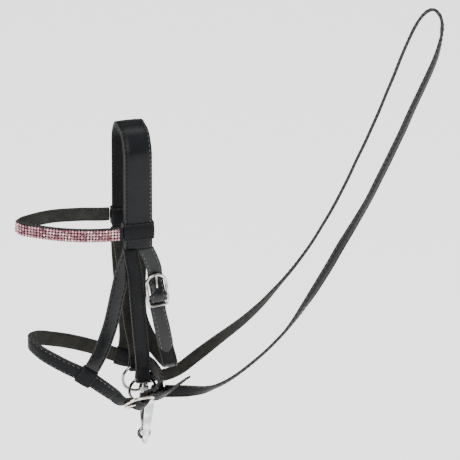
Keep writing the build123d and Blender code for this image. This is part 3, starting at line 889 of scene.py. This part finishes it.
strap_piece(
    "noseband_billet_strap", nose_billet, ["noseband_billet"], thick=BILLET, ends=nose_ends,
    narrow=pointed(run_length(nose_billet, nose_ends), 0.008),
)
for name, plane in (("throat", throat), ("noseband", nose)):
    neck = plane[2] * -0.55 - plane[3] * 0.83
    folded_end(
        f"{name}_buckle_fold", plane[0] / 1000, neck, plane[1], 0.0014, 0.001, 0.0064, STRAP,
        [black_grain, dyed_edge, black_lining],
    )


def nearest_section(sections, spot):
    """The index of the section nearest to a spot in millimetres."""
    return min(range(len(sections)), key=lambda i: (sections[i].origin - mm(*spot)).length)


def keeper(name, section, width, tall, deep, wall, body, nodes=()):
    """A closed leather loop round a strap's section."""
    corners = [(-tall, -deep), (tall, -deep), (tall, deep), (-tall, deep)]
    reach = wall * 0.9
    spots = []
    for i, (a, o) in enumerate(corners):
        turn = math.radians(180 + 90 * i + 45)
        for step in (-30, 0, 30):
            angle = turn + math.radians(step)
            corner_a = a - math.copysign(reach, a) + reach * math.cos(angle)
            corner_o = o - math.copysign(reach, o) + reach * math.sin(angle)
            spots.append((corner_a, corner_o))
        following = corners[(i + 1) % 4]
        for part in (0.35, 0.65):
            spots.append((a + (following[0] - a) * part, o + (following[1] - o) * part))
    sections = []
    gone = 0.0
    points = [section.at(a, o) for a, o in spots]
    for i, spot in enumerate(points):
        if i:
            gone += (spot - points[i - 1]).length
        along = points[(i + 1) % len(points)] - points[i - 1]
        sections.append(Section(spot, -section.along, along, gone))
    if sections[0].out.dot(points[0] - section.origin) < 0:
        for one in sections:
            one.across, one.out = -one.across, -one.out
    made = swept(
        name,
        sections,
        strap_outline(width, wall),
        [black_grain, dyed_edge, black_lining],
        closed=True,
    )
    settle(made, body, "black_leather", *nodes)
    rows = stitch_rows(
        name + "_stitches", sections, (-width / 2 + SEAM_INSET, width / 2 - SEAM_INSET), wall / 2,
        0.004, grey_thread
    )
    settle(rows, body, "black_leather")
    return made


HANGER_GAP = 0.0005 + 0.0004


def hanger(name, tops, hang, thread, finishes=None):
    """A noseband hanger, from the crown down to its loop round the noseband."""
    section = nose_sections[nearest_section(nose_sections, hang)]
    foot = section.at(STRAP / 2 + HANGER_GAP, 0) * 1000
    route = tops + [(tuple(foot), section.along)]
    strap_piece(
        name + "_strap",
        route,
        [name],
        ends=(DOWN, -section.across),
        thread=thread,
        pitch=0.0051,
        finishes=finishes,
    )
    keeper(name + "_loop", section, 0.0140, STRAP / 2 + 0.0010, THICK / 2 + 0.0010, 0.0013, "root")


hanger(
    "near_noseband_hanger",
    [
        ((-tail_x, -inner_layer, crown_end), ACROSS_X), ((-13.4, -19.7, -121.6), ACROSS_X),
        ((-17.8, -21.6, -138.6), ACROSS_X), ((-27.0, -26.0, -171.6), ACROSS_X),
    ],
    near_hang, black_thread, [glazed_grain, dyed_edge, olive_suede],
)
hanger(
    "far_noseband_hanger",
    [
        ((-tail_x, outer_layer, crown_end), -ACROSS_X), ((-4.5, 25.5, -141.6), -ACROSS_X),
        ((1.0, 29.0, -186.6), -ACROSS_X),
    ],
    far_hang, grey_thread,
)

# --- Browband -----------------------------------------------------------------------------

NEAR_BROW_Z, FAR_BROW_Z = -82.6, -86.6
leg_middle = 21.4
brow_width = 0.012
brow_route = [
    ((-14.1, 25.5, FAR_BROW_Z), UP), ((-40.0, 25.6, -84.4), UP), ((-67.0, 20.5, -81.2), UP),
    ((-86.0, 12.0, -79.3), UP),
    ((-96.5, 5.0, -78.4), UP), ((-99.3, 0.0, -78.1), UP), ((-96.5, -5.0, -78.2), UP),
    ((-86.0, -12.0, -78.5), UP),
    ((-67.0, -20.5, -79.6), UP), ((-40.0, -25.2, -81.6), UP), ((-14.1, -25.5, NEAR_BROW_Z), UP),
]
brow_sections = smooth_sections(
    [(mm(*point), hint) for point, hint in brow_route], 0.0013, ((-1, 0, 0), (1, 0, 0))
)
browband = swept(
    "browband_strap", brow_sections, strap_outline(brow_width, 0.002),
    [black_grain, dyed_edge, grey_suede]
)
settle(browband, "browband", "black_leather", "browband")
lining = swept(
    "browband_suede", brow_sections, strap_outline(brow_width - 0.0006, 0.001),
    [grey_suede, dyed_edge, grey_suede],
    lift=-0.0015,
)
settle(lining, "browband", "soft_lining", "browband_lining")
lining_rows = stitch_rows(
    "browband_stitches", brow_sections, (-brow_width / 2 + 0.0015, brow_width / 2 - 0.0015),
    -0.00205, 0.0036,
    grey_thread, size=0.9,
)
settle(lining_rows, "browband", "soft_lining")

ROWS, PITCH = 4, 0.00262
CUP_LIFT, STONE_LIFT = 0.00135, 0.00200
STONE_MIX = (0.62, 0.18, 0.20)  # of rose and wine stones and of near-white stones that are painted sparkle


def crystal_rows():
    """Rows of cut stones in cups, close-set along the browband's outer face."""
    stones, cups = bmesh.new(), bmesh.new()
    rng = random.Random(11)
    total = brow_sections[-1].travelled
    count = int((total - 0.004) / PITCH)
    nearest = 0
    for k in range(count):
        place = (total - (count - 1) * PITCH) / 2 + k * PITCH
        while brow_sections[nearest].travelled < place:
            nearest += 1
        section = section_at(brow_sections, nearest, place)
        way = Matrix((section.across, -section.along, section.out)).transposed().to_4x4()
        for row in range(ROWS):
            offset = (row - (ROWS - 1) / 2) * PITCH
            tilt = Matrix.Rotation(rng.uniform(-0.14, 0.14), 4, "X")
            tilt = tilt @ Matrix.Rotation(rng.uniform(-0.14, 0.14), 4, "Y")
            spin = Matrix.Rotation(rng.uniform(0, 0.8), 4, "Z")
            seat = Matrix.Translation(section.at(offset, CUP_LIFT)) @ way @ tilt @ spin
            bmesh.ops.create_cone(
                cups, cap_ends=True, segments=8, radius1=0.00128, radius2=0.00118, depth=0.0007,
                matrix=seat
            )
            seat = Matrix.Translation(section.at(offset, STONE_LIFT)) @ way @ tilt @ spin
            made = bmesh.ops.create_cone(
                stones, cap_ends=True, segments=8, radius1=0.00112, radius2=0.00058, depth=0.0007,
                matrix=seat
            )
            finish = rng.choices((0, 1, 2), STONE_MIX)[0]
            for face in {face for vert in made["verts"] for face in vert.link_faces}:
                face.material_index = finish
    for bm in (stones, cups):
        bmesh.ops.recalc_face_normals(bm, faces=bm.faces)
    stones = piece("crystal_stones", stones, [rose_stone, wine_stone, painted_sparkle_stone])
    # The cups' pink tint is a painted reflection of the stones.
    cups = piece("crystal_cups", cups, [pink_reflection_cup_metal])
    settle(stones, "browband", "rose_crystal", "crystal_strip")
    settle(cups, "browband", "rose_crystal")


crystal_rows()

for side_name, side, height in (("near", NEAR, NEAR_BROW_Z), ("far", FAR, FAR_BROW_Z)):
    leg = Section(mm(0, side * leg_middle, height), ACROSS_X, DOWN, 0.0)
    keeper(
        f"{side_name}_brow_end", leg, 0.015, CROWN / 2 + 0.0009, 0.003 + 0.0009, 0.0013,
        "browband",
        [f"{side_name}_browband_loop"],
    )

# --- Metal --------------------------------------------------------------------------------

# The rings and the far cannon take the painted-shade copy of the nickel; the near cannon and the
# noseband buckle take painted-highlight copies.
for name, finish in (
    ("throat_buckle_frame", nickel),
    ("throat_buckle_prong", nickel),
    ("noseband_buckle_frame", painted_cream_highlight_nickel),
    ("noseband_buckle_prong", painted_cream_highlight_nickel),
    ("near_bit_ring", painted_shade_nickel),
    ("far_bit_ring", painted_shade_nickel),
    ("near_cannon", painted_highlight_nickel),
    ("far_cannon", painted_shade_nickel),
):
    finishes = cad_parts[name].data.materials
    finishes.clear()
    finishes.append(finish)

# --- Floor and light ----------------------------------------------------------------------

floor_bm = bmesh.new()
bmesh.ops.create_grid(
    floor_bm,
    x_segments=1,
    y_segments=1,
    size=14.0,
    matrix=Matrix.Translation((0, 0, cad_low.z - FLOOR_BELOW)),
)
paper, paper_shader = finish_of("studio_paper", (0.95, 0.95, 0.95), 0.95)
paper_shader.inputs["Specular IOR Level"].default_value = 0.0
paper_shader.inputs["Emission Color"].default_value = (1, 1, 1, 1)
paper_shader.inputs["Emission Strength"].default_value = 1.5
floor = piece("studio_floor", floor_bm, [paper])


def softbox(name, spot, size, power, color=(1, 1, 1)):
    """A square area light aimed at the bridle."""
    data = bpy.data.lights.new(name, "AREA")
    data.energy, data.size, data.color = power, size, color
    light = bpy.data.objects.new(name, data)
    scene.collection.objects.link(light)
    light.location = target + Vector(spot)
    light.rotation_mode = "QUATERNION"
    light.rotation_quaternion = Vector(spot).to_track_quat("Z", "Y")


softbox("key_light", (-0.9, -1.1, 1.0), 0.9, 26)
softbox("fill_light", (1.3, -1.0, 0.3), 1.2, 10)
softbox("top_light", (0.1, 0.5, 1.5), 1.2, 14)
world = bpy.data.worlds.new("studio_world")
world.use_nodes = True
sky = world.node_tree.nodes["Background"]
sky_way = world.node_tree.nodes.new("ShaderNodeTexCoord")
sky_split = world.node_tree.nodes.new("ShaderNodeSeparateXYZ")
sky_ramp = world.node_tree.nodes.new("ShaderNodeValToRGB")
world.node_tree.links.new(sky_way.outputs["Generated"], sky_split.inputs["Vector"])
world.node_tree.links.new(sky_split.outputs["Z"], sky_ramp.inputs["Fac"])
world.node_tree.links.new(sky_ramp.outputs["Color"], sky.inputs["Color"])
sky_ramp.color_ramp.elements[0].color = (0.03, 0.03, 0.03, 1)
sky_ramp.color_ramp.elements[0].position = 0.15
sky_ramp.color_ramp.elements[1].color = (1, 1, 1, 1)
sky_ramp.color_ramp.elements[1].position = 0.75
sky.inputs["Strength"].default_value = 0.6
scene.world = world

bpy.context.view_layer.update()
